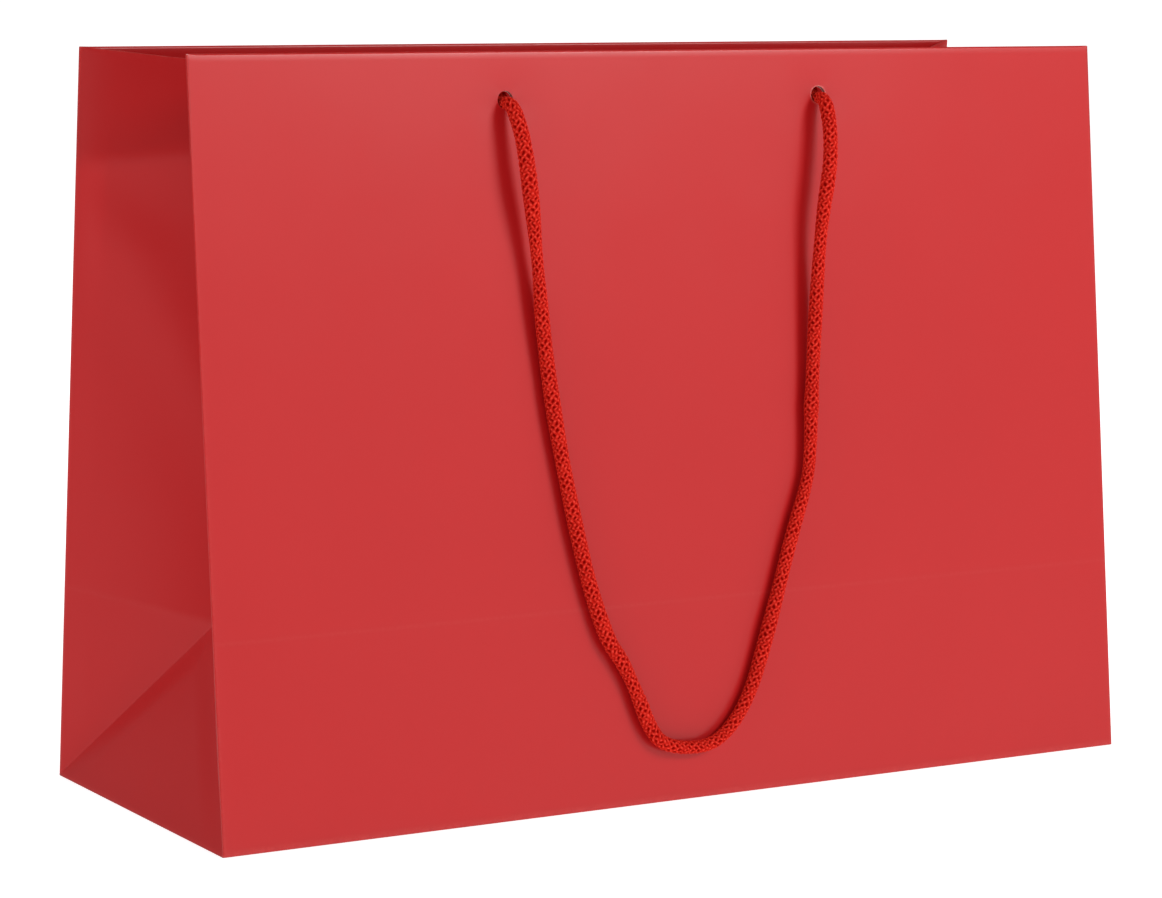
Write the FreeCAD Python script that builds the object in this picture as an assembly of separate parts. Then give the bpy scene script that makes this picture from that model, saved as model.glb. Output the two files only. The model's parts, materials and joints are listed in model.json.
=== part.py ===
"""A landscape gift bag of laminated paper with a knitted cord handle on each long wall.

The bag stands on Z = 0 with the middle of its bottom at the origin. X runs along the long walls,
the front wall faces -Y and +Z is up. One sheet of paper makes the whole bag, and each panel between
two creases is a node of its own. The outer faces of the panels meet on the creases, and every panel
is thickened towards the inside of the bag.
"""
import FreeCAD, Part
import math
import os

Vector = FreeCAD.Vector
X_AXIS = Vector(1, 0, 0)
Z_AXIS = Vector(0, 0, 1)
ORIGIN = Vector(0, 0, 0)

# Bag, in millimetres
width = 420.0
depth = 160.0
height = 300.0  # of a long wall, measured up its slope
mouth = 102.0  # between the tops of the long walls
paper = 0.4
glue = 0.05  # left between two layers that are glued together
crease_gap = 0.3  # left beside a crease of a flat wall
gusset_gap = 1.0  # left beside every crease of a gusset
gusset_hem_gap = 2.4  # beside the creases of its turned-in hem, which is further inside

# Mouth: the paper is turned in over a card
hem = 38.0
card = 1.0
card_end_gap = 5.0  # from each end of a card to the bag's corner

# Bottom
flap_overlap = 24.0  # of the front flap over the back one, across the middle
dust_flap = 78.0
flap_end_gap = 1.2  # from the flaps and the base card to the creases round the bottom
base_card = 1.5
base_card_end_gap = 2.5
seam_lap = 18.0

# Handles
cord = 6.5
hole = 7.0
hole_drop = 19.0  # from the top of the wall to the middle of a hole
hole_spacing = 146.0
hole_middle = -2.2  # the pair is punched a little to the left
stub_end = 0.4  # how far the cord is held by the wall, out of the hole
cord_start = 1.8
knot_width = 15.0
knot_depth = 12.5
knot_tail = 14.0

half_width = width / 2
half_depth = depth / 2
lean = math.asin((depth - mouth) / 2 / height)
hole_up = height - hole_drop
left_hole = hole_middle - hole_spacing / 2
right_hole = hole_middle + hole_spacing / 2
card_face = paper + glue
hem_face = card_face + card + glue
wall_thickness = hem_face + paper

# The front cord's route, in the front wall's own directions: (along X, up the wall, out of the wall).
# It comes straight out of the left hole, hangs clear of the wall, lies on it lower down, turns in an
# uneven loop, and goes back up to the right hole.
cord_route = [
    (left_hole, hole_up, cord_start),
    (left_hole, hole_up - 0.4, 5.4),
    (left_hole + 0.1, hole_up - 2.6, 8.9),
    (left_hole + 0.3, hole_up - 6.8, 11.0),
    (-74.4, 265.8, 11.3),
    (-71.6, 250.0, 10.2),
    (-69.0, 222.0, 8.4),
    (-66.2, 186.0, 6.2),
    (-60.8, 148.0, 4.5),
    (-53.8, 112.0, 3.8),
    (-48.2, 88.0, 3.7),
    (-40.5, 68.5, 3.7),
    (-33.2, 53.0, 3.7),
    (-28.2, 39.0, 3.7),
    (-22.4, 28.4, 3.7),
    (-12.8, 21.4, 3.7),
    (-1.0, 19.6, 3.7),
    (9.8, 23.2, 3.7),
    (18.2, 31.0, 3.7),
    (25.2, 42.5, 3.7),
    (31.4, 58.5, 3.7),
    (38.4, 78.0, 3.7),
    (46.2, 103.0, 3.9),
    (55.4, 126.0, 4.3),
    (58.8, 155.0, 5.2),
    (61.0, 190.0, 6.8),
    (64.8, 224.0, 8.6),
    (70.2, 249.0, 10.0),
    (71.4, 265.8, 11.3),
    (right_hole + 0.1, hole_up - 6.8, 11.0),
    (right_hole, hole_up - 2.6, 8.9),
    (right_hole, hole_up - 0.4, 5.4),
    (right_hole, hole_up, cord_start),
]


def on_wall(along, up, out=0.0):
    """A point by its place on the front wall: along X, up the slope, and out of its outer face."""
    return Vector(
        along,
        -half_depth + up * math.sin(lean) - out * math.cos(lean),
        up * math.cos(lean) + out * math.sin(lean),
    )


def lean_to_front(shape):
    """Takes a shape drawn upright, with its outer face on Y = 0, to the front wall."""
    leaning = shape.copy()
    leaning.rotate(ORIGIN, X_AXIS, -math.degrees(lean))
    leaning.translate(Vector(0, -half_depth, 0))
    return leaning


def half_turn(shape):
    """The same shape on the back wall."""
    turned = shape.copy()
    turned.rotate(ORIGIN, Z_AXIS, 180)
    return turned


def layer(left, right, bottom, top, face, thickness):
    """An upright layer of a wall, whose outer side is the given distance inside the outer face."""
    return Part.makeBox(right - left, thickness, top - bottom, Vector(left, face, bottom))


def punched(shape):
    """Cuts the two cord holes through an upright layer."""
    for along in (left_hole, right_hole):
        start = Vector(along, -1, hole_up)
        punch = Part.makeCylinder(hole / 2, wall_thickness + 2, start, Vector(0, 1, 0))
        shape = shape.cut(punch)
    return shape


def upper_panel():
    panel = layer(-half_width, half_width, half_depth + crease_gap, height, 0, paper)
    return punched(panel)


def lower_panel():
    return layer(-half_width, half_width, crease_gap, half_depth - crease_gap, 0, paper)


def reinforcement_card():
    end = half_width - card_end_gap
    strip = layer(-end, end, height - hem + 1, height - paper - glue, card_face, card)
    return punched(strip)


def wall_hem():
    """The turned-in paper: down the inside of the card, and over its top."""
    end = half_width - card_end_gap
    inside = layer(-end, end, height - hem, height, hem_face, paper)
    top_fold = layer(-end, end, height - paper, height, card_face, wall_thickness - card_face)
    return punched(inside.fuse(top_fold).removeSplitter())


def side_seam_lap():
    """The glued edge of the sheet, inside the back wall by its right-hand corner."""
    right = half_width - card_end_gap
    strip = layer(-right, -right + seam_lap, 6, height - hem - 2, paper + glue, paper)
    return half_turn(lean_to_front(strip))


def inset(points, gap=gusset_gap):
    """Moves every edge of a convex outline inwards by the gap."""
    moved = []
    for before, here, after in zip(points[-1:] + points[:-1], points, points[1:] + points[:1]):
        forward = (after - here).normalize()
        backward = (before - here).normalize()
        corner = forward.getAngle(backward)
        moved.append(here + (forward + backward) * (gap / math.sin(corner)))
    return moved


def inward_normal(points):
    """The direction square to an outline that points into the bag."""
    normal = (points[1] - points[0]).cross(points[2] - points[0]).normalize()
    to_middle = Vector(0, 0, height / 2) - points[0]
    return normal if normal.dot(to_middle) > 0 else -normal


def flat_facet(points):
    """A facet of a gusset between flat creases."""
    outline = inset(points)
    face = Part.Face(Part.makePolygon(outline + outline[:1]))
    return face.extrude(inward_normal(points) * paper)


def twisted_facet(bottom_outer, bottom_inner, top_inner, top_outer, face=0.0, gap=gusset_gap):
    """A facet whose bottom and top creases aren't parallel, so that the paper is slightly twisted."""
    points = [bottom_outer, bottom_inner, top_inner, top_outer]
    low_out, low_in, high_in, high_out = inset(points, gap)
    surface = Part.makeRuledSurface(
        Part.makeLine(low_out, low_in), Part.makeLine(high_out, high_in)
    )
    across = (bottom_inner - bottom_outer + top_inner - top_outer).cross(top_outer - bottom_outer)
    normal = across.normalize()
    if normal.dot(Vector(0, 0, height / 2) - bottom_outer) < 0:
        normal = -normal
    surface.translate(normal * face)
    return surface.extrude(normal * paper)


def gusset_crease():
    """The ends of a gusset's middle crease, on the left. Both halves of the gusset are half as wide as
    the bottom is deep, so the crease's lower end is that far from the bottom, and from the corner
    at its own height. Its upper end is as far from the top corners, and a crease's length higher."""
    tilt = math.acos((1 - math.sin(lean)) / math.cos(lean))
    low = Vector(-half_width + half_depth * math.sin(tilt), 0, half_depth * math.cos(tilt))
    corner = on_wall(-half_width, height)
    reach = math.sqrt(half_depth**2 - corner.y**2)
    length = height - half_depth
    base = Vector(corner.x, 0, corner.z) - low
    span = base.Length
    along = (length**2 - reach**2 + span**2) / (2 * span)
    aside = math.sqrt(length**2 - along**2)
    up = base.normalize()
    right = Vector(up.z, 0, -up.x)
    return low, low + up * along + right * aside


def mirrored(point, side, end):
    """A point of the left front quarter, taken to another quarter of the bag."""
    return Vector(-point.x * side, -point.y * end, point.z)


def gusset_pieces():
    """The two gussets, each a foot on the bottom's short edge and a front and a back half."""
    low, high = gusset_crease()
    bottom = Vector(-half_width, -half_depth, 0)
    middle = on_wall(-half_width, half_depth)
    top = on_wall(-half_width, height)
    turn_in = hem / (height - half_depth)
    hem_outer = top + (middle - top) * turn_in
    hem_inner = high + (low - high) * turn_in
    pieces = {}
    for side_name, side in (("left", -1), ("right", 1)):
        foot = [mirrored(bottom, side, -1), mirrored(bottom, side, 1), mirrored(low, side, 1)]
        pieces[f"{side_name}_gusset_foot"] = flat_facet(foot)
        for end_name, end in (("front", -1), ("back", 1)):
            place = [mirrored(p, side, end) for p in (bottom, low, middle, top, high)]
            corner, fold, half, rim, fold_top = place
            hem_corner, hem_fold = (mirrored(p, side, end) for p in (hem_outer, hem_inner))
            name = f"{side_name}_{end_name}_gusset"
            pieces[f"{name}_lower"] = flat_facet([corner, fold, half])
            pieces[f"{name}_upper"] = twisted_facet(half, fold, fold_top, rim)
            pieces[f"{name}_hem"] = twisted_facet(
                hem_corner, hem_fold, fold_top, rim, paper + glue, gusset_hem_gap
            )
    return pieces


def bottom_pieces():
    """Two long flaps, the back one stepped up over the front one's edge, two dust flaps and a card."""
    long_end = half_width - flap_end_gap
    deep_end = half_depth - flap_end_gap
    edge = flap_overlap / 2
    second = paper + glue
    third = 2 * second
    fourth = 3 * second
    front = Part.makeBox(2 * long_end, deep_end + edge, paper, Vector(-long_end, -deep_end, 0))
    step = [
        Vector(-long_end, deep_end, 0),
        Vector(-long_end, edge + 1.0, 0),
        Vector(-long_end, edge + 0.5, second),
        Vector(-long_end, -edge, second),
        Vector(-long_end, -edge, second + paper),
        Vector(-long_end, edge + 1.0, second + paper),
        Vector(-long_end, edge + 1.5, paper),
        Vector(-long_end, deep_end, paper),
    ]
    back = Part.Face(Part.makePolygon(step + step[:1])).extrude(Vector(2 * long_end, 0, 0))
    inner = long_end - dust_flap
    outline = [
        Vector(-long_end, -deep_end, third),
        Vector(-inner, -deep_end / 2, third),
        Vector(-inner, deep_end / 2, third),
        Vector(-long_end, deep_end, third),
    ]
    dust = Part.Face(Part.makePolygon(outline + outline[:1])).extrude(Vector(0, 0, paper))
    card_x = half_width - base_card_end_gap
    card_y = half_depth - base_card_end_gap + 0.5
    board = Part.makeBox(2 * card_x, 2 * card_y, base_card, Vector(-card_x, -card_y, fourth))
    return {
        "front_bottom_flap": front,
        "back_bottom_flap": back,
        "left_dust_flap": dust,
        "right_dust_flap": half_turn(dust),
        "base_card": board,
    }


def rounded_path(points):
    """Straight runs joined by tangent arcs, each as large as its two runs allow."""
    edges = []
    radii = []
    start = points[0]
    for before, here, after in zip(points, points[1:], points[2:]):
        back, forward = before - here, after - here
        trim = 0.45 * min(back.Length, forward.Length)
        half_turn_angle = (math.pi - back.getAngle(forward)) / 2
        radii.append(trim / math.tan(half_turn_angle))
        enter = here + back.normalize() * trim
        leave = here + forward.normalize() * trim
        bisector = (back + forward).normalize()
        middle = here + bisector * radii[-1] * (1 / math.cos(half_turn_angle) - 1)
        edges.append(Part.LineSegment(start, enter).toShape())
        edges.append(Part.Arc(enter, middle, leave).toShape())
        start = leave
    edges.append(Part.LineSegment(start, points[-1]).toShape())
    return Part.Wire(edges), radii


def handle_cord():
    """The front handle's cord, from hole to hole."""
    points = [on_wall(*place) for place in cord_route]
    path, radii = rounded_path(points)
    section = Part.Wire(Part.makeCircle(cord / 2, points[0], points[1] - points[0]))
    tube = path.makePipeShell([section], True, False)
    area = math.pi * cord**2 / 4
    print("cord radii", [round(r, 1) for r in radii])
    print(f"cord length {path.Length:.1f}, volume over section times length",
          round(tube.Volume / (area * path.Length), 4))
    return tube


def knot(along):
    """The knot inside the wall, the short tail below it, and the stretch of cord in the hole."""
    inside = wall_thickness + knot_depth / 2 + 0.1
    middle = Vector(along, inside, hole_up)
    ball = Part.makeSphere(knot_width / 2)
    squash = FreeCAD.Matrix()
    squash.scale(1, knot_depth / knot_width, 1)
    ball = ball.transformGeometry(squash)
    ball.translate(middle)
    exit_face = Vector(along, -stub_end, hole_up)
    through = Part.makeCylinder(cord / 2, inside + stub_end, exit_face, Vector(0, 1, 0))
    tail = Part.makeCylinder(cord / 2, knot_width / 2 + knot_tail, middle, -Z_AXIS)
    return lean_to_front(ball.fuse([through, tail]).removeSplitter())


def build():
    pieces = {}
    wall_layers = {
        "upper_panel": upper_panel(),
        "lower_panel": lower_panel(),
        "reinforcement_card": reinforcement_card(),
        "hem": wall_hem(),
    }
    for name, upright in wall_layers.items():
        wall = lean_to_front(upright)
        pieces[f"front_{name}"] = wall
        pieces[f"back_{name}"] = half_turn(wall)
    pieces["side_seam_lap"] = side_seam_lap()
    pieces.update(gusset_pieces())
    pieces.update(bottom_pieces())
    tube = handle_cord()
    pieces["front_handle_cord"] = tube
    pieces["back_handle_cord"] = half_turn(tube)
    for side, other, along in (("left", "right", left_hole), ("right", "left", right_hole)):
        front_knot = knot(along)
        pieces[f"front_{side}_knot"] = front_knot
        pieces[f"back_{other}_knot"] = half_turn(front_knot)
    return pieces


os.makedirs("parts", exist_ok=True)
for node, shape in sorted(build().items()):
    if not shape.isValid() or len(shape.Solids) != 1:
        print("check this one:", node, shape.isValid(), len(shape.Solids))
    shape.exportStep(f"parts/{node}.step")
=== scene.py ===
"""The looks of a gift bag of red laminated paper with knitted cord handles, round its CAD frame.

One printed sheet makes the whole bag. Its skins are a wall with its turned-in hem on each long side,
and half a gusset, from a corner edge to the middle crease, at each of the four corners. A half gusset
is in two sheets, its foot and the rest.
Each skin is drawn once, at the front left, and half-turned or mirrored to its other places.
"""
import json
import math

import bmesh
import bpy
import numpy as np
from mathutils import Matrix, Vector


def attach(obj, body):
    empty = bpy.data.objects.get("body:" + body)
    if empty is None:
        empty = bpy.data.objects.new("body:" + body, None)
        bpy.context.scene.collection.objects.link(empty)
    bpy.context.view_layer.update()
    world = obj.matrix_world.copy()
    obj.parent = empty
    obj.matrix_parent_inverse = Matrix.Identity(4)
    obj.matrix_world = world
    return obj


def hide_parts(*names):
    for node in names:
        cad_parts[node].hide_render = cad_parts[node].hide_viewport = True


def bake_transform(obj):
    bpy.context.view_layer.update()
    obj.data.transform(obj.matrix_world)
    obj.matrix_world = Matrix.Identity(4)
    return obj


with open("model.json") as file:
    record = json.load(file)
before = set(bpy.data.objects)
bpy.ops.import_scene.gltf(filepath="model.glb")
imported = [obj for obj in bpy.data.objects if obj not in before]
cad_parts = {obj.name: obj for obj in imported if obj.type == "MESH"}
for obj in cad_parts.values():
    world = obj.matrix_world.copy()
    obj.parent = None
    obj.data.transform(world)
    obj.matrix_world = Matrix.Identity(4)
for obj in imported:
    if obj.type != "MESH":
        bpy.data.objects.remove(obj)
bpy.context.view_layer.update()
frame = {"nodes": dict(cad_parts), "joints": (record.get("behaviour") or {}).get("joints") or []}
hinge_places = {joint["name"]: Vector(joint["pos_m"]) for joint in frame["joints"]}

# The bag, in metres
mm = 0.001
half_depth = -hinge_places["front_wall_crease"].y
half_width = 210 * mm
wall_height = 300 * mm  # up its slope
mouth = 102 * mm
paper = 0.4 * mm
hem = 38 * mm
wall_thickness = 1.9 * mm  # paper, card and hem
gusset_thickness = 0.85 * mm  # paper and hem
lean = math.asin((half_depth - mouth / 2) / wall_height)

# Folds
corner_reach = 0.8 * mm  # how far the round of a corner fold reaches from its edge
crease_reach = 1.0 * mm
bottom_fold = 0.45 * mm
lip = 1.1 * mm  # how far a skin goes under the bag, to the bottom flaps
card_end_gap = 5 * mm
half_crease_ridge = 0.32 * mm
hem_tip = 3.8 * mm  # how far a gusset's hem tips out at its lower edge
hem_slant = 0.2  # how much higher the hem's lower edge is per unit across, at a gusset
painted_hem_shade_strength = 0.38  # how strongly painted shade darkens the red over a gusset's hem
soft_fold = 1.6 * mm  # the height of the soft fold aslant below a gusset's hem
foot_fullness = 0.9 * mm
wall_unevenness = 0.09 * mm
hole_dent = 0.18 * mm

# Handles
cord_diameter = 6.5 * mm
hole_radius = 3.5 * mm
hole_up = wall_height - 19 * mm
left_hole = -75.2 * mm
right_hole = 70.8 * mm
stitch = 2.95 * mm
stitch_columns = 10  # of gaps round a cord
stitch_lean = 0.24  # how much the gaps lean, to one side and the other in turn, in columns
strand_half_width = 0.5  # in columns
yarn_depth = 0.26  # the height of the knit's relief, in cord radii
cord_drop = 1.1 * mm  # how far below a hole's middle the cord lies in it

grid_step = 2.6 * mm
gusset_step = 1.3 * mm
hole_square = 7 * mm  # half the side of the square that each hole's rings fill
ring_spacing = 0.39 * mm  # between the rings of a cord's tube
knot_ring_spacing = 0.42 * mm

# The front cord's route: (along X, up the wall, out of the wall), in millimetres. It is the frame's,
# laid closer to the wall, with one more point at each end, in the knot inside the wall.
cord_route = [
    (-75.2, 279.6, -7.5),
    (-75.2, 280.0, 1.5),
    (-75.3, 279.2, 4.0),
    (-74.9, 276.5, 6.0),
    (-74.2, 272.2, 7.4),
    (-73.1, 265.4, 8.7),
    (-71.6, 251.4, 9.4),
    (-68.1, 222.0, 6.8),
    (-64.9, 186.0, 3.9),
    (-60.2, 147.9, 3.4),
    (-53.6, 112.0, 3.4),
    (-48.7, 89.1, 3.5),
    (-41.5, 67.1, 3.5),
    (-35.5, 59.2, 3.4),
    (-29.0, 45.3, 3.4),
    (-23.8, 30.8, 3.4),
    (-17.9, 23.5, 3.4),
    (-5.3, 20.7, 3.4),
    (6.3, 21.5, 3.4),
    (16.7, 29.4, 3.4),
    (25.2, 42.2, 3.4),
    (31.6, 58.5, 3.4),
    (38.6, 77.9, 3.5),
    (47.7, 103.8, 3.4),
    (55.6, 123.3, 3.4),
    (57.7, 133.7, 3.4),
    (59.4, 158.9, 3.6),
    (62.0, 193.5, 5.0),
    (64.1, 228.2, 8.4),
    (68.8, 251.6, 9.8),
    (70.1, 265.0, 8.8),
    (70.2, 272.9, 7.4),
    (70.2, 276.9, 6.0),
    (70.4, 279.2, 4.0),
    (70.8, 280.0, 1.5),
    (70.8, 279.6, -7.5),
]

# Where the soft knit is stretched thin or bunched up: (share of the cord, reach, how much)
cord_swells = [
    (0.075, 16 * mm, 0.06),
    (0.13, 14 * mm, -0.15),
    (0.33, 30 * mm, 0.05),
    (0.425, 6 * mm, -0.10),
    (0.53, 26 * mm, -0.12),
    (0.73, 30 * mm, -0.14),
    (0.765, 5 * mm, 0.10),
    (0.885, 14 * mm, -0.12),
]


def on_wall(along, up, out=0.0):
    """Points by their place on the front wall: along X, up the slope, and out of its outer face."""
    along, up, out = np.broadcast_arrays(along, up, out)
    y = -half_depth + up * math.sin(lean) - out * math.cos(lean)
    z = up * math.cos(lean) + out * math.sin(lean)
    return np.stack([along, y, z], axis=-1)


def half_turned(points):
    """Points turned half round the upright line through the bag's middle."""
    return np.asarray(points) * (-1, -1, 1)


def smooth_step(values, low, high):
    share = np.clip((values - low) / (high - low), 0, 1)
    return share * share * (3 - 2 * share)


def bump(values, middle, width):
    return np.exp(-(((values - middle) / width) ** 2))


# ---------------------------------------------------------------- materials


def new_material(name):
    """A material, its nodes, its links and its shader."""
    material = bpy.data.materials.new(name)
    material.use_nodes = True
    tree = material.node_tree
    return material, tree, tree.nodes["Principled BSDF"]


def node(tree, kind, **settings):
    """A new node, with its settings and with values for its inputs that are given by name."""
    made = tree.nodes.new(kind)
    for key, value in settings.items():
        if key.startswith("in_"):
            made.inputs[key[3:].replace("_", " ")].default_value = value
        else:
            setattr(made, key, value)
    return made


def noise(tree, scale, detail=3.0, roughness=0.5, stretch=(1, 1, 1)):
    """A noise over the object's own coordinates, with scale in features per metre."""
    place = node(tree, "ShaderNodeTexCoord")
    mapping = node(tree, "ShaderNodeMapping", in_Scale=stretch)
    texture = node(
        tree, "ShaderNodeTexNoise", in_Scale=scale, in_Detail=detail, in_Roughness=roughness
    )
    tree.links.new(place.outputs["Object"], mapping.inputs["Vector"])
    tree.links.new(mapping.outputs["Vector"], texture.inputs["Vector"])
    return texture.outputs["Fac"]


def ranged(tree, value, low, high, to_low, to_high):
    made = node(tree, "ShaderNodeMapRange")
    for name, number in zip(("From Min", "From Max", "To Min", "To Max"), (low, high, to_low, to_high)):
        made.inputs[name].default_value = number
    tree.links.new(value, made.inputs["Value"])
    return made.outputs["Result"]


def product(tree, first, second):
    made = node(tree, "ShaderNodeMath", operation="MULTIPLY")
    tree.links.new(first, made.inputs[0])
    tree.links.new(second, made.inputs[1])
    return made.outputs["Value"]


def mixed(tree, share, first, second):
    """A colour between two, each a colour or a socket."""
    made = node(tree, "ShaderNodeMix", data_type="RGBA")
    tree.links.new(share, made.inputs["Factor"])
    for socket, colour in ((made.inputs[6], first), (made.inputs[7], second)):
        if isinstance(colour, bpy.types.NodeSocket):
            tree.links.new(colour, socket)
        else:
            socket.default_value = (*colour, 1)
    return made.outputs[2]


def attribute(tree, name):
    return node(tree, "ShaderNodeAttribute", attribute_name=name).outputs["Fac"]


def bumped(tree, shader, layers):
    """Stacks bumps of (height socket, distance in metres, strength) on a shader."""
    below = None
    for height, distance, strength in layers:
        made = node(tree, "ShaderNodeBump", in_Strength=strength, in_Distance=distance)
        tree.links.new(height, made.inputs["Height"])
        if below is not None:
            tree.links.new(below, made.inputs["Normal"])
        below = made.outputs["Normal"]
    tree.links.new(below, shader.inputs["Normal"])


def laminate():
    """Red print under a satin film: a faint orange peel, fine scuffs, paler paper at worn folds,
    painted shade that darkens the red over a gusset's hem, and a painted shadow along the bottom fold.
    """
    material, tree, shader = new_material("red_laminate")
    drift = ranged(tree, noise(tree, 9, 2), 0.2, 0.8, 0, 1)
    red = mixed(tree, drift, (0.466, 0.0066, 0.0078), (0.488, 0.0080, 0.0090))
    ragged = ranged(tree, noise(tree, 700, 4, 0.7), 0.35, 0.62, 0.15, 1)
    worn = product(tree, attribute(tree, "wear"), ragged)
    # Painted shade: a darker red over each gusset's hem, where the paper tips away from the light.
    red = mixed(tree, attribute(tree, "painted_hem_shade"), red, (0.27, 0.0035, 0.004))
    colour = mixed(tree, worn, red, (0.74, 0.24, 0.21))
    # Painted shadow: a dark line along the bottom fold, where the bag meets the floor.
    colour = mixed(tree, attribute(tree, "painted_bottom_shadow"), colour, (0.09, 0.006, 0.006))
    tree.links.new(colour, shader.inputs["Base Color"])
    rough = ranged(tree, noise(tree, 45, 3, 0.5), 0.1, 0.9, 0.28, 0.335)
    tree.links.new(rough, shader.inputs["Roughness"])
    shader.inputs["IOR"].default_value = 1.41
    bumped(tree, shader, [(noise(tree, 70, 2), 0.00004, 0.4)])
    return material


def bare_paper(name, colour, shade):
    """Uncoated paper: matt, with short fibres and a few specks."""
    material, tree, shader = new_material(name)
    cloud = ranged(tree, noise(tree, 260, 5, 0.7), 0.35, 0.65, 0, 1)
    tree.links.new(mixed(tree, cloud, colour, shade), shader.inputs["Base Color"])
    shader.inputs["Roughness"].default_value = 0.82
    shader.inputs["IOR"].default_value = 1.42
    bumped(tree, shader, [(noise(tree, 1400, 4, 0.7, (1, 1, 0.35)), 0.00006, 0.7)])
    return material


def grey_board():
    """Recycled board: red-brown fibres with darker flecks."""
    material, tree, shader = new_material("grey_board")
    cloud = ranged(tree, noise(tree, 380, 6, 0.75), 0.35, 0.65, 0, 1)
    base = mixed(tree, cloud, (0.30, 0.13, 0.11), (0.38, 0.18, 0.15))
    fleck = ranged(tree, noise(tree, 1100, 2), 0.66, 0.70, 0, 0.5)
    colour = mixed(tree, fleck, base, (0.16, 0.09, 0.08))
    tree.links.new(colour, shader.inputs["Base Color"])
    shader.inputs["Roughness"].default_value = 0.9
    bumped(tree, shader, [(noise(tree, 900, 5, 0.75), 0.00012, 0.8)])
    return material


def flap_paper():
    """The bottom flaps: their lower side is the bag's printed outside, and their upper side is bare."""
    material = bare_paper("flap_paper", (0.80, 0.785, 0.76), (0.74, 0.725, 0.70))
    tree = material.node_tree
    shader = tree.nodes["Principled BSDF"]
    plain = shader.inputs["Base Color"].links[0].from_socket
    normal = node(tree, "ShaderNodeSeparateXYZ")
    geometry = node(tree, "ShaderNodeNewGeometry")
    tree.links.new(geometry.outputs["True Normal"], normal.inputs["Vector"])
    below = ranged(tree, normal.outputs["Z"], -0.4, -0.6, 0, 1)
    colour = mixed(tree, below, plain, (0.60, 0.0085, 0.0105))
    tree.links.new(colour, shader.inputs["Base Color"])
    rough = ranged(tree, below, 0, 1, 0.82, 0.3)
    tree.links.new(rough, shader.inputs["Roughness"])
    return material


def knitted_yarn():
    """Bright red knitted yarn: fine filaments along each stitch, a painted highlight on the stitch
    crests, and painted shade in the gaps between the stitches.
    """
    material, tree, shader = new_material("knitted_yarn")
    drift = ranged(tree, noise(tree, 120, 3), 0.35, 0.65, 0, 1)
    yarn = mixed(tree, drift, (0.47, 0.006, 0.0025), (0.55, 0.011, 0.005))
    filament = noise(tree, 2600, 3, 0.6)
    yarn = mixed(tree, ranged(tree, filament, 0.45, 0.75, 0, 0.5), yarn, (0.84, 0.066, 0.046))
    # Painted highlight: the crests of the knit, where it stands highest, are lighter.
    painted_crest_highlight = ranged(tree, attribute(tree, "gap"), 0.22, 0.03, 0, 0.75)
    yarn = mixed(tree, painted_crest_highlight, yarn, (0.86, 0.062, 0.040))
    # Painted shade: the gaps between the stitches, where the knit lies deepest, are darker.
    gap = ranged(tree, attribute(tree, "gap"), 0.3, 0.85, 0, 1)
    colour = mixed(tree, gap, yarn, (0.27, 0.0014, 0.0006))
    tree.links.new(colour, shader.inputs["Base Color"])
    rough = ranged(tree, filament, 0.3, 0.7, 0.75, 0.9)
    tree.links.new(rough, shader.inputs["Roughness"])
    shader.inputs["IOR"].default_value = 1.1
    bumped(tree, shader, [(filament, 0.00012, 0.7)])
    return material


def white_floor():
    """A white table, lit from below as a light table is, and more so away from the bag."""
    material, tree, shader = new_material("white_floor")
    shader.inputs["Base Color"].default_value = (0.72, 0.72, 0.72, 1)
    shader.inputs["Roughness"].default_value = 0.8
    place = node(tree, "ShaderNodeTexCoord")
    distance = node(tree, "ShaderNodeVectorMath", operation="LENGTH")
    tree.links.new(place.outputs["Object"], distance.inputs[0])
    glow = ranged(tree, distance.outputs["Value"], 0.4, 3.0, 0.81, 0.97)
    tree.links.new(glow, shader.inputs["Emission Strength"])
    shader.inputs["Emission Color"].default_value = (1, 1, 1, 1)
    return material


# ---------------------------------------------------------------- sheets of paper


def divided(stops, step):
    """Places from the first stop to the last, through every stop and no more than a step apart."""
    places = [stops[0]]
    for low, high in zip(stops, stops[1:]):
        count = max(1, math.ceil((high - low) / step - 1e-6))
        places += [low + (high - low) * i / count for i in range(1, count + 1)]
    return places


def hole_rings(mesh, vertex, columns, rows, middle, radius, count=7):
    """Fills the square round a hole with rings that turn from the square into the hole's edge."""
    across = [x for x in columns if abs(x - middle[0]) < hole_square + 1e-7]
    upright = [y for y in rows if abs(y - middle[1]) < hole_square + 1e-7]
    low, high, left, right = upright[0], upright[-1], across[0], across[-1]
    edge = [(x, low) for x in across] + [(right, y) for y in upright[1:]]
    edge += [(x, high) for x in across[-2::-1]] + [(left, y) for y in upright[-2:0:-1]]
    outer = [vertex(*place) for place in edge]
    for ring in range(1, count + 1):
        share = 1 - (1 - ring / count) ** 1.5
        inner = []
        for x, y in edge:
            angle = math.atan2(y - middle[1], x - middle[0])
            round_x = middle[0] + radius * math.cos(angle)
            round_y = middle[1] + radius * math.sin(angle)
            inner.append(mesh.verts.new((x + (round_x - x) * share, y + (round_y - y) * share, 0)))
        for i in range(len(edge)):
            j = (i + 1) % len(edge)
            mesh.faces.new((outer[i], outer[j], inner[j], inner[i]))
        outer = inner


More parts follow.
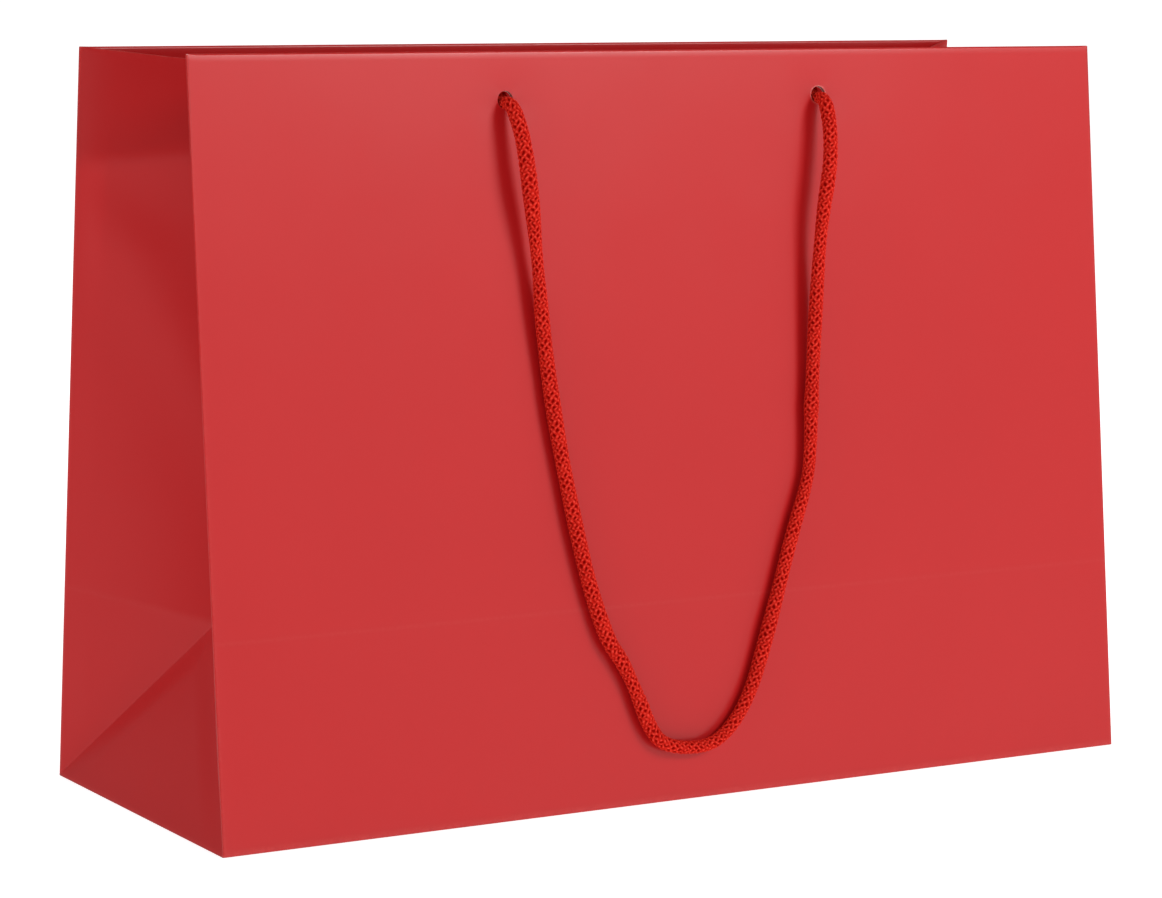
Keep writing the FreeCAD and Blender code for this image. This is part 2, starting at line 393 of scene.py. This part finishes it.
def flat_grid(columns, rows, holes=(), crease_on_diagonal=False):
    """A flat grid of the sheet's own places, with round holes. Along a crease on the diagonal, where
    a column's and a row's places are equal, the squares are split into triangles."""
    mesh = bmesh.new()
    made = {}

    def vertex(x, y):
        key = (round(x, 7), round(y, 7))
        if key not in made:
            made[key] = mesh.verts.new((x, y, 0))
        return made[key]

    def in_hole(x, y):
        return any(abs(x - a) < hole_square and abs(y - b) < hole_square for a, b in holes)

    for left, right in zip(columns, columns[1:]):
        for low, high in zip(rows, rows[1:]):
            if in_hole((left + right) / 2, (low + high) / 2):
                continue
            corners = [vertex(left, low), vertex(right, low), vertex(right, high), vertex(left, high)]
            if crease_on_diagonal and abs(left - low) < 1e-7 and abs(right - high) < 1e-7:
                mesh.faces.new((corners[0], corners[1], corners[2]))
                mesh.faces.new((corners[0], corners[2], corners[3]))
            else:
                mesh.faces.new(corners)
    for middle in holes:
        hole_rings(mesh, vertex, columns, rows, middle, hole_radius)
    return mesh


def sheet_object(name, flat, place, wear, flip, materials, shade=None):
    """A sheet of paper as thick as the real one: place takes the flat grid's places to points in
    space, wear to how worn the print is there, and shade, if given, to how much painted shade darkens
    its red."""
    data = bpy.data.meshes.new(name)
    if flip:
        bmesh.ops.reverse_faces(flat, faces=flat.faces[:])
    for edge in flat.edges:
        edge.smooth = not edge.is_boundary
    flat.to_mesh(data)
    flat.free()
    places = np.zeros(len(data.vertices) * 3)
    data.vertices.foreach_get("co", places)
    first, second = places.reshape(-1, 3)[:, 0], places.reshape(-1, 3)[:, 1]
    data.vertices.foreach_set("co", place(first, second).ravel())
    layers = {
        "wear": np.clip(wear(first, second), 0, 1),
        # A painted shadow along the bottom fold and under the bag.
        "painted_bottom_shadow": 0.8 * smooth_step(second, 0.5 * mm, -0.4 * mm),
        "painted_hem_shade": shade(first, second) if shade else 0 * second,
    }
    for key, values in layers.items():
        layer = data.attributes.new(key, "FLOAT", "POINT")
        layer.data.foreach_set("value", values.astype(np.float32))
    data.polygons.foreach_set("use_smooth", [True] * len(data.polygons))
    for material in materials:
        data.materials.append(material)
    sheet = bpy.data.objects.new(name, data)
    bpy.context.scene.collection.objects.link(sheet)
    thick = sheet.modifiers.new("paper_thickness", "SOLIDIFY")
    thick.thickness = paper
    thick.offset = -1
    thick.material_offset = 1
    thick.material_offset_rim = 2
    return sheet


def rounded_line(points, radii, steps=5):
    """A flat line with its corners rounded."""
    line = [Vector(points[0])]
    for before, here, after, radius in zip(points, points[1:], points[2:], radii):
        before, here, after = Vector(before), Vector(here), Vector(after)
        back, ahead = (before - here).normalized(), (after - here).normalized()
        half = back.angle(ahead) / 2
        middle = here + (back + ahead).normalized() * radius / math.sin(half)
        arm = here + back * radius / math.tan(half) - middle
        turn = math.copysign(math.pi - 2 * half, (here - before).cross(after - here))
        for step in range(steps + 1):
            line.append(middle + Matrix.Rotation(turn * step / steps, 2) @ arm)
    line.append(Vector(points[-1]))
    return np.array(line)


def wall_section(thickness):
    """A section through a wall's sheet as (up, out): from under the bag, up the outside, over the
    top and down the hem inside."""
    points = [
        (lip * math.sin(lean), -lip * math.cos(lean)),
        (0, 0),
        (wall_height, 0),
        (wall_height, -thickness),
        (wall_height - hem, -thickness),
    ]
    return rounded_line(points, [bottom_fold, 0.499 * thickness, 0.499 * thickness])


def stations_of(section):
    """How far along the sheet a section's points are, which is their height on the outside."""
    along = np.concatenate([[0], np.cumsum(np.linalg.norm(np.diff(section, axis=0), axis=1))])
    first_above = int(np.argmax(section[:, 1] > -1e-9))
    return along - along[first_above] + section[first_above, 0]


thick_section = wall_section(wall_thickness)
thin_section = wall_section(gusset_thickness)
stations = stations_of(thick_section)
hem_station = stations[-1]
hem_hole = hem_station - (hole_up - (wall_height - hem))


def wall_bulge(along, up, turn):
    """How far a wall stands out of its flat plane. It is a shade full on both sides of the crease at
    half the depth, where it has a soft ridge, and it dips where the cords pull at the holes."""
    at_edge = smooth_step(np.abs(along), half_width, half_width - 30 * mm)
    ridge = half_crease_ridge * np.exp(-np.abs(up - half_depth) / (26 * mm))
    ridge *= smooth_step(up, 0, 20 * mm)
    wave = np.sin(along * 31 + up * 17 + turn) + 0.6 * np.sin(along * 57 - up * 43 + 2 * turn + 1)
    wave = wall_unevenness * wave * smooth_step(up, 0, 40 * mm)
    wave *= smooth_step(up, wall_height - 8 * mm, wall_height - 60 * mm) * 0.8 + 0.2
    dent = 0
    for hole in (left_hole, right_hole):
        far = np.hypot(along - hole, up - hole_up)
        angle = np.arctan2(up - hole_up, along - hole)
        spokes = 1 + 0.12 * np.sin(5 * angle + 40 * hole)
        dent = dent - hole_dent * bump(far, 0, 11 * mm) * spokes
    return at_edge * (ridge + wave) + dent


def wall_points(along, station, turn):
    """Points of the front wall's sheet."""
    up, out = (np.interp(station, stations, thick_section[:, k]) for k in (0, 1))
    thin_up, thin_out = (np.interp(station, stations, thin_section[:, k]) for k in (0, 1))
    thin = smooth_step(np.abs(along), half_width - card_end_gap + 0.3 * mm, half_width - 1 * mm)
    up, out = up + (thin_up - up) * thin, out + (thin_out - out) * thin
    return on_wall(along, up, out + wall_bulge(along, up, turn))


def wall_wear(along, station):
    """Print is worn at the top, the bottom and the crease, and cut pale round the holes."""
    worn = 0.2 * bump(station, wall_height + 0.6 * mm, 1.0 * mm)
    worn = worn + 0.1 * bump(station, 0.4 * mm, 0.8 * mm)
    worn = worn + 0.04 * bump(station, half_depth, 0.6 * mm)
    worn = worn + 0.12 * bump(np.abs(along), half_width, 1.1 * mm)
    for hole, amount in ((left_hole, 0.05), (right_hole, 0.55)):
        for height in (hole_up, hem_hole):
            far = np.hypot(along - hole, station - height)
            worn = worn + amount * smooth_step(far, hole_radius + 0.65 * mm, hole_radius + 0.1 * mm)
    return worn


def build_wall(side, materials):
    """The front or back wall's sheet, with its hem and its four holes through paper and hem."""
    turned = side == "back"
    holes = [(hole, height) for hole in (left_hole, right_hole) for height in (hole_up, hem_hole)]
    end = half_width - corner_reach
    column_stops = [-end, -end + 1 * mm, -end + 4.2 * mm, -half_width + 8 * mm]
    for hole in (left_hole, right_hole):
        column_stops += [hole - hole_square, hole + hole_square]
    column_stops += [half_width - 8 * mm, end - 4.2 * mm, end - 1 * mm, end]
    row_stops = list(stations) + [half_depth - 1.2 * mm, half_depth, half_depth + 1.2 * mm]
    for height in (hole_up, hem_hole):
        row_stops += [height - hole_square, height + hole_square]
    flat = flat_grid(divided(column_stops, grid_step), divided(sorted(row_stops), grid_step), holes)
    turn = 2.0 if turned else 0.0

    def place(along, station):
        points = wall_points(along, station, turn)
        return half_turned(points) if turned else points

    wall = sheet_object(f"{side}_wall_sheet", flat, place, wall_wear, False, materials)
    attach(wall, f"{side}_wall")
    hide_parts(f"{side}_upper_panel", f"{side}_lower_panel", f"{side}_hem")


# ---------------------------------------------------------------- gussets


def crease_ends():
    """The lower and upper end of the left gusset's middle crease. Each half is as wide as half the
    depth all the way up, which sets how far the crease is from the corner edge."""
    tilt = math.acos((1 - math.sin(lean)) / math.cos(lean))
    low = Vector((-half_width + half_depth * math.sin(tilt), 0, half_depth * math.cos(tilt)))
    corner = Vector(on_wall(-half_width, wall_height))
    reach = math.sqrt(half_depth**2 - corner.y**2)
    length = wall_height - half_depth
    base = Vector((corner.x, 0, corner.z)) - low
    along = (length**2 - reach**2 + base.length_squared) / (2 * base.length)
    aside = math.sqrt(length**2 - along**2)
    up = base.normalized()
    return np.array(low), np.array(low + up * along + Vector((up.z, 0, -up.x)) * aside)


crease_low, crease_high = crease_ends()
bottom_corner = np.array([-half_width, -half_depth, 0.0])
bottom_middle = np.array([-half_width, 0.0, 0.0])
edge_half = on_wall(-half_width, half_depth)
edge_top = on_wall(-half_width, wall_height)


def gusset_facets(across, up):
    """Points of the left front half gusset with sharp creases, by their place on the flat paper:
    across from the corner edge, and up from the bottom edge."""
    a, b = across[:, None] / half_depth, up[:, None] / half_depth
    foot = bottom_corner + a * (bottom_middle - bottom_corner) + b * (crease_low - bottom_middle)
    lower = bottom_corner + b * (edge_half - bottom_corner) + a * (crease_low - edge_half)
    c = (up[:, None] - half_depth) / (wall_height - half_depth)
    edge = edge_half + c * (edge_top - edge_half)
    upper = edge + a * (crease_low + c * (crease_high - crease_low) - edge)
    return np.where(b > 1, upper, np.where(a > b, foot, lower))


def gusset_normals(across, up):
    """The directions out of the bag, from small steps on the facets."""
    step = 0.5 * mm
    along = gusset_facets(across + step, up) - gusset_facets(across - step, up)
    rise = gusset_facets(across, up + step) - gusset_facets(across, up - step)
    normals = np.cross(rise, along)
    return normals / np.linalg.norm(normals, axis=1)[:, None]


def gusset_bulge(across, up):
    """The loose paper of a gusset: its stiff hem tips outwards and the paper bends where the hem
    ends, a soft fold runs aslant below it, and the foot is a little full."""
    free = smooth_step(across, 0, 16 * mm) * smooth_step(across, half_depth, half_depth - 12 * mm)
    down = wall_height - up
    bend = hem_end(across)
    below = np.exp(-np.clip(down - bend, 0, None) / (55 * mm))
    tipped = hem_tip * np.where(down < bend, np.clip(down, 0, None) / bend, below)
    slant = soft_fold * bump(across - 0.86 * down + 41 * mm, 0, 24 * mm)
    slant = slant * smooth_step(down, 40 * mm, 80 * mm)
    upper = smooth_step(up, half_depth, half_depth + 50 * mm)
    inside = across - up
    full = foot_fullness * np.sin(np.pi * np.clip(up / half_depth, 0, 1))
    foot = full * smooth_step(inside, 0, 20 * mm)
    aside = 0.6 * full * smooth_step(-inside, 0, 18 * mm) * free
    lower = (up < half_depth) * np.where(inside > 0, foot, aside)
    return free * (tipped + slant) * upper + lower


def hem_end(across):
    """How far below its top a gusset's paper bends where its hem ends, a little aslant."""
    return hem + hem_slant * (half_depth / 2 - across)


def fold(start, corner, end, share):
    """Points on the rounded fold of the paper round a corner, a share of the way from start to end."""
    share = share[:, None]
    return (1 - share) ** 2 * start + 2 * share * (1 - share) * corner + share**2 * end


def gusset_surface(across, station):
    """Points of the half gusset with its bottom fold, its hem and its loose paper."""
    up = np.interp(station, stations, thin_section[:, 0])
    out = np.where(station > half_depth, np.interp(station, stations, thin_section[:, 1]), 0)
    above = np.maximum(up, 0)
    points = gusset_facets(across, above)
    lift = (out + gusset_bulge(across, above))[:, None]
    points = points + gusset_normals(across, np.clip(above, 1 * mm, None)) * lift
    ground = np.array([1.0, 0.0, 0.0])
    under = gusset_facets(across, 0 * up) - station[:, None] * ground
    points = np.where(station[:, None] < 0, under, points)
    reach = np.full_like(up, bottom_fold)
    hem_share = np.clip((station + bottom_fold) / (2 * bottom_fold), 0, 1)
    start = gusset_facets(across, 0 * up) + bottom_fold * ground
    rounded = fold(start, gusset_facets(across, 0 * up), gusset_facets(across, reach), hem_share)
    return np.where(np.abs(station)[:, None] < bottom_fold, rounded, points)


def gusset_points(across, station):
    """Points of the left front half gusset, rounded into the wall and into its other half."""
    points = gusset_surface(across, station)
    near_corner = np.full_like(across, corner_reach)
    start = wall_points(near_corner - half_width, station, 0)
    corner = wall_points(0 * across - half_width, station, 0)
    share = np.clip((across + corner_reach) / (2 * corner_reach), 0, 1)
    turned = fold(start, corner, gusset_surface(near_corner, station), share)
    points = np.where(across[:, None] < corner_reach, turned, points)
    near_crease = np.full_like(across, half_depth - crease_reach)
    start = gusset_surface(near_crease, station)
    middle = gusset_surface(near_crease + crease_reach, station)
    middle[:, 1] = 0
    share = np.clip((across - half_depth + crease_reach) / (2 * crease_reach), 0, 0.5)
    turned = fold(start, middle, start * (1, -1, 1), share)
    return np.where(across[:, None] > half_depth - crease_reach, turned, points)


def gusset_wear(across, station):
    """Print is worn at the top, the bottom, the corner edge and the creases."""
    lower = station < half_depth + 0.5 * mm
    worn = 0.12 * bump(across, 0, 0.9 * mm) + 0.1 * bump(station, 0.4 * mm, 0.8 * mm)
    worn = worn + 0.3 * bump(station, wall_height + 0.6 * mm, 1.0 * mm)
    worn = worn + 0.03 * bump(station, half_depth, 0.6 * mm)
    worn = worn + 0.05 * bump(across, half_depth, 0.7 * mm) * (1 - lower)
    return worn + 0.03 * bump(across - station, 0, 0.7 * mm) * lower


def gusset_painted_shade(across, station):
    """Painted shade: how much the red is darkened over a gusset's hem, fading out across where the
    paper bends at the hem's lower end.
    """
    down = wall_height - station
    low_edge = hem_end(across)
    return painted_hem_shade_strength * smooth_step(down, low_edge + 7 * mm, low_edge - 6 * mm)


def kept_faces(flat, wanted):
    """A copy of a flat grid with only the faces whose middles are wanted."""
    part = flat.copy()
    unwanted = [face for face in part.faces if not wanted(face.calc_center_median())]
    bmesh.ops.delete(part, geom=unwanted, context="FACES")
    return part


def build_gusset_half(side, end, materials):
    """Half a gusset as two sheets, its foot and the rest, shaped to meet its wall at the corner edge
    and its other half at the middle crease."""
    mirror = np.array([1 if side == "left" else -1, 1 if end == "front" else -1, 1])
    column_stops = [-corner_reach, 0, corner_reach, 3 * mm, half_depth - crease_reach, half_depth]
    columns = divided(column_stops, gusset_step)
    columns[1:1] = [-corner_reach / 2]
    inner = [x for x in columns if x > bottom_fold]
    outer_stations = [s for s in stations if s < 0.9 * bottom_fold]
    row_stops = outer_stations + inner + [s for s in stations if s > half_depth + bottom_fold]
    rows = divided(sorted(row_stops), grid_step)
    flat = flat_grid(sorted(columns), rows, (), True)

    def place(across, station):
        return gusset_points(across, station) * mirror

    flip = mirror[0] * mirror[1] > 0
    name = f"{side}_{end}_gusset"
    # A slope that falls by this much per metre inwards from the leaning edge, and along X so that it
    # is nothing at the crease's top. It is worked out here, but nothing reads it.
    steep = -10.0
    slope = np.array([0.0, steep, -steep * math.tan(lean)])
    top = crease_high - bottom_corner
    slope[0] = -(1 + slope @ top) / top[0]
    # A steeper slope for the foot, equal to the rest's along the crease they share; nothing reads it
    # either.
    foot_steep = -40.0
    diagonal = crease_low - bottom_corner
    foot_rise = (slope @ diagonal - foot_steep * diagonal[1]) / diagonal[2]
    foot_slope = np.array([0.0, foot_steep, foot_rise])
    # The foot is the part of the flat grid that is below its diagonal.
    upper = kept_faces(flat, lambda middle: middle.y >= middle.x)
    foot = kept_faces(flat, lambda middle: middle.y < middle.x)
    for part_name, part, leading in (("sheet", upper, slope), ("foot_sheet", foot, foot_slope)):
        piece_name = f"{name}_{part_name}"
        piece = sheet_object(piece_name, part, place, gusset_wear, flip, materials, gusset_painted_shade)
        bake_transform(piece)
        if part is foot:
            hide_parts(f"{side}_gusset_foot")
        else:
            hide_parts(f"{name}_lower", f"{name}_upper", f"{name}_hem")
    flat.free()


# ---------------------------------------------------------------- cords


def spline_line(points, spacing):
    """Evenly spaced points on the smooth line that a list of control points makes."""
    curve = bpy.data.curves.new("route", "CURVE")
    curve.dimensions = "3D"
    spline = curve.splines.new("NURBS")
    spline.points.add(len(points) - 1)
    for control, place in zip(spline.points, points):
        control.co = (*place, 1)
    spline.order_u = 3
    spline.use_endpoint_u = True
    spline.resolution_u = 30
    holder = bpy.data.objects.new("route", curve)
    mesh = bpy.data.meshes.new_from_object(holder)
    line = np.array([v.co for v in mesh.vertices])
    bpy.data.meshes.remove(mesh)
    bpy.data.objects.remove(holder)
    bpy.data.curves.remove(curve)
    along = np.concatenate([[0], np.cumsum(np.linalg.norm(np.diff(line, axis=0), axis=1))])
    at = np.linspace(0, along[-1], max(2, round(along[-1] / spacing)))
    return np.stack([np.interp(at, along, line[:, k]) for k in range(3)], axis=1), at


def frames_along(line, first_side):
    """Two directions square to the line at each point, carried along it without twisting."""
    ahead = np.gradient(line, axis=0)
    ahead /= np.linalg.norm(ahead, axis=1)[:, None]
    side = np.array(first_side, float)
    sides = []
    for direction in ahead:
        side = side - direction * (side @ direction)
        side /= np.linalg.norm(side)
        sides.append(side)
    sides = np.array(sides)
    return sides, np.cross(ahead, sides)


def knit(around, along):
    """Height of the knit at a place: around in columns of gaps, along in stitches. A strand of yarn
    runs between each two columns and bends round their gaps, which are half a stitch apart."""
    column = np.floor(around)
    height = np.zeros(np.broadcast(around, along).shape)
    for neighbour in (-1, 0, 1):
        strand = column + neighbour
        uneven = 0.10 * np.sin(along * 1.7 + strand % stitch_columns * 2.4)
        uneven = uneven + 0.06 * np.sin(along * 4.1 + strand % stitch_columns)
        turn = 2 * np.pi * (along + 0.5 * (strand % 2) + uneven)
        middle = strand + 0.5 + (0.2 + 0.4 * uneven) * np.sin(turn) + 0.04 * np.sin(2 * turn + 1)
        middle = middle + stitch_lean * (1 - 2 * (strand % 2)) * np.cos(turn)
        shape = 1 - ((around - middle) / strand_half_width) ** 2
        leaf = 0.87 + 0.13 * np.cos(2 * turn + 0.6)
        height = np.maximum(height, leaf * np.sqrt(np.clip(shape, 0, None)))
    return height


def tube_object(name, line, at, radius_scale, twist, around=64):
    """A knitted tube along a line. radius_scale and twist are given along it."""
    sides, ups = frames_along(line, (1, 0, 0))
    turn = np.linspace(0, 1, around, endpoint=False)
    height = knit(turn[None, :] * stitch_columns, (at / stitch)[:, None])
    full = cord_diameter / 2 * radius_scale[:, None]
    radius = full * (0.76 + yarn_depth * height)
    angle = turn[None, :] * 2 * np.pi + twist[:, None]
    rings = line[:, None, :] + radius[..., None] * (
        np.cos(angle)[..., None] * sides[:, None, :] + np.sin(angle)[..., None] * ups[:, None, :]
    )
    count = len(line)
    ring = np.arange(around)
    start = (np.arange(count - 1) * around)[:, None]
    quads = np.stack([start + ring, start + (ring + 1) % around,
                      start + around + (ring + 1) % around, start + around + ring], axis=-1)
    points = np.concatenate([rings.reshape(-1, 3), line[[0, -1]]])
    faces = quads.reshape(-1, 4).tolist()
    last = (count - 1) * around
    faces += [[count * around, (i + 1) % around, i] for i in range(around)]
    faces += [[count * around + 1, last + i, last + (i + 1) % around] for i in range(around)]
    data = bpy.data.meshes.new(name)
    data.from_pydata(points.tolist(), [], faces)
    # gap is how deep each place lies in the knit; by it the yarn paints shade in the gaps and a
    # highlight on the crests.
    gap = np.concatenate([1 - height.ravel(), [1, 1]])
    data.attributes.new("gap", "FLOAT", "POINT").data.foreach_set("value", gap.astype(np.float32))
    data.polygons.foreach_set("use_smooth", [True] * len(data.polygons))
    data.materials.append(materials["yarn"])
    tube = bpy.data.objects.new(name, data)
    bpy.context.scene.collection.objects.link(tube)
    return tube


def build_handle(side):
    """One handle's cord from knot to knot, through its wall's holes and hanging in a loop below them.
    """
    turned = side == "back"
    places = [
        on_wall(*(np.array(cord_route).T * mm)),
        on_wall(left_hole, hole_up - cord_drop),
        on_wall(left_hole, hole_up - 1.4 * mm, 1.4 * mm),
        on_wall(left_hole, hole_up - 7.4 * mm, 7.4 * mm),
    ]
    if turned:
        places = [half_turned(place) for place in places]
    route, exit_point, bend_start, bend_end = places
    line, at = spline_line(route, ring_spacing)
    length = at[-1]
    from_end = np.minimum(at, length - at)
    scale = 0.93 + 0.03 * np.sin(at * 61) + 0.025 * np.sin(at * 143 + 1.3)
    for place, reach, amount in cord_swells:
        scale += amount * bump(at, place * length, reach)
    scale *= 0.80 + 0.20 * smooth_step(from_end, 9 * mm, 17 * mm)
    twist = 0.5 * np.sin(at * 19) + at * 9
    cord = tube_object(f"{side}_handle_cord_knit", line, at, scale, twist)
    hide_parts(f"{side}_handle_cord")
    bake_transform(cord)
    return cord, line, exit_point


def build_knot(side, place, node_name):
    """An overhand knot inside the wall with its short cut tail."""
    turned = side == "back"
    path = np.array([
        (0, 0, 4.5), (0.3, 0.4, 7.0), (3.0, 3.2, 9.2), (4.3, -0.6, 11.4), (0.6, -4.4, 12.2),
        (-4.2, -2.0, 10.6), (-3.9, 3.2, 8.4), (0.6, 4.8, 7.4), (3.4, 1.6, 9.2), (1.0, -3.2, 10.0),
        (-0.6, -8.6, 9.6), (0.2, -15.0, 9.0), (-0.4, -21.2, 8.8),
    ]) * mm
    points = on_wall(place + path[:, 0], hole_up - cord_drop + path[:, 1], -path[:, 2])
    if turned:
        points = half_turned(points)
    line, at = spline_line(points, knot_ring_spacing)
    scale = 0.84 + 0.04 * np.sin(at * 300) + 0.16 * smooth_step(at, at[-1] - 14 * mm, at[-1] - 8 * mm)
    scale *= 1 - 0.35 * smooth_step(at, at[-1] - 1.4 * mm, at[-1])
    knot = tube_object(f"{node_name}_knit", line, at, scale, at * 30, around=48)
    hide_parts(node_name)
    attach(knot, f"{side}_wall")
    return knot


# ---------------------------------------------------------------- the object

materials = {
    "red": laminate(),
    "white": bare_paper("white_paper_inside", (0.83, 0.82, 0.80), (0.78, 0.77, 0.745)),
    "cut": bare_paper("cut_paper_edge", (0.66, 0.30, 0.27), (0.56, 0.20, 0.18)),
    "yarn": knitted_yarn(),
    "grey": grey_board(),
    "board": bare_paper("base_board", (0.74, 0.72, 0.68), (0.68, 0.655, 0.61)),
    "flap": flap_paper(),
}
sheet_materials = [materials[key] for key in ("red", "white", "cut")]

for side in ("front", "back"):
    build_wall(side, sheet_materials)
    cord, line, exit_point = build_handle(side)
    places = {"left": left_hole, "right": right_hole}
    for knot_side, place in places.items():
        other = {"left": "right", "right": "left"}[knot_side]
        node_name = f"{side}_{knot_side if side == 'front' else other}_knot"
        build_knot(side, place, node_name)
    tuple(exit_point)
    for gusset_side in ("left", "right"):
        build_gusset_half(gusset_side, side, sheet_materials)

cad_finish = {
    "reinforcement_card": ("grey", "grey_card"),
    "bottom_flap": ("flap", "red_paper"),
    "dust_flap": ("flap", "red_paper"),
    "seam_lap": ("white", "red_paper"),
    "base_card": ("board", "base_card"),
}
for name, part in frame["nodes"].items():
    for ending, (key, slot_name) in cad_finish.items():
        if name.endswith(ending):
            part.data.materials.clear()
            part.data.materials.append(materials[key])


# ---------------------------------------------------------------- stage, light and camera


def build_floor():
    data = bpy.data.meshes.new("floor")
    reach = 30.0
    low = -0.3 * mm
    corners = [(-reach, -reach), (reach, -reach), (reach, reach), (-reach, reach)]
    data.from_pydata([(x, y, low) for x, y in corners], [], [(0, 1, 2, 3)])
    data.materials.append(white_floor())
    floor = bpy.data.objects.new("floor", data)
    bpy.context.scene.collection.objects.link(floor)
    floor.visible_glossy = False


def direction(azimuth, elevation):
    """A direction out from the bag: azimuth 0 is straight out of the front, and 90 is towards +X."""
    a, e = math.radians(azimuth), math.radians(elevation)
    return Vector((math.sin(a) * math.cos(e), -math.cos(a) * math.cos(e), math.sin(e)))


def softbox(name, azimuth, elevation, distance, size, radiance):
    """A rectangular light that faces the bag's middle, as bright as a surface of that radiance."""
    data = bpy.data.lights.new(name, "AREA")
    data.shape = "RECTANGLE"
    data.size, data.size_y = size
    data.energy = radiance * math.pi * size[0] * size[1]
    lamp = bpy.data.objects.new(name, data)
    out = direction(azimuth, elevation)
    lamp.location = Vector((0, 0, 0.14)) + out * distance
    lamp.rotation_mode = "QUATERNION"
    lamp.rotation_quaternion = out.to_track_quat("Z", "Y")
    bpy.context.scene.collection.objects.link(lamp)
    return lamp


def toward(tree, place, azimuth, elevation, strength):
    """A soft glow of the room round one direction."""
    made = node(tree, "ShaderNodeVectorMath", operation="DOT_PRODUCT")
    tree.links.new(place, made.inputs[0])
    made.inputs[1].default_value = direction(azimuth, elevation)
    return ranged(tree, made.outputs["Value"], 0.87, 0.985, 0, strength)


def chosen(tree, share, first, second):
    """A number between two sockets or numbers."""
    made = node(tree, "ShaderNodeMix", data_type="FLOAT")
    tree.links.new(share, made.inputs["Factor"])
    for socket, value in ((made.inputs[2], first), (made.inputs[3], second)):
        if isinstance(value, bpy.types.NodeSocket):
            tree.links.new(value, socket)
        else:
            socket.default_value = value
    return made.outputs[0]


def summed(tree, *values):
    total = values[0]
    for value in values[1:]:
        made = node(tree, "ShaderNodeMath", operation="ADD")
        tree.links.new(total, made.inputs[0])
        tree.links.new(value, made.inputs[1])
        total = made.outputs["Value"]
    return total


def build_world():
    """White behind the bag. In its gloss it shows a dim room, pale low down and at the front right,
    and the light that it gets from all round is even."""
    world = bpy.data.worlds.new("studio")
    world.use_nodes = True
    tree = world.node_tree
    background = tree.nodes["Background"]
    place = node(tree, "ShaderNodeTexCoord").outputs["Generated"]
    height = node(tree, "ShaderNodeSeparateXYZ")
    tree.links.new(place, height.inputs["Vector"])
    above = ranged(tree, height.outputs["Z"], -0.13, -0.02, 0.82, 0.03)
    below = ranged(tree, height.outputs["Z"], -0.22, -0.10, -0.35, 0)
    front_right = toward(tree, place, 30, 5, 1.15)
    back_left = toward(tree, place, -154, 17, 0.22)
    room = summed(tree, above, below, front_right, back_left)
    path = node(tree, "ShaderNodeLightPath")
    seen = chosen(tree, path.outputs["Is Glossy Ray"], 0.24, room)
    strength = chosen(tree, path.outputs["Is Camera Ray"], seen, 1.02)
    background.inputs["Color"].default_value = (1, 1, 1, 1)
    tree.links.new(strength, background.inputs["Strength"])
    world.cycles.sampling_method = "NONE"
    bpy.context.scene.world = world


def build_camera():
    """A long lens from the front left, a little above the bag, with a slight roll."""
    data = bpy.data.cameras.new("camera")
    data.lens = 114.9
    data.sensor_width = 36
    camera = bpy.data.objects.new("camera", data)
    back = direction(-30.32, 7.72)
    camera.location = Vector((-0.0093, 0, 0.1324)) + back * 1.538
    roll = Matrix.Rotation(math.radians(0.41), 3, "Z").to_quaternion()
    camera.rotation_mode = "QUATERNION"
    camera.rotation_quaternion = (-back).to_track_quat("-Z", "Y") @ roll
    bpy.context.scene.collection.objects.link(camera)
    bpy.context.scene.camera = camera


build_floor()
build_world()
softbox("key", 29, 28, 2.3, (0.72, 0.72), 15.9)
softbox("left_panel", -88, 20, 2.0, (1.4, 1.0), 2.3).visible_glossy = False
softbox("back_panel", 160, 35, 2.2, (1.2, 1.2), 3.0).visible_glossy = False
softbox("top_panel", 0, 88, 1.6, (0.5, 0.5), 5.0).visible_glossy = False
build_camera()
bpy.context.scene.view_settings.view_transform = "Standard"
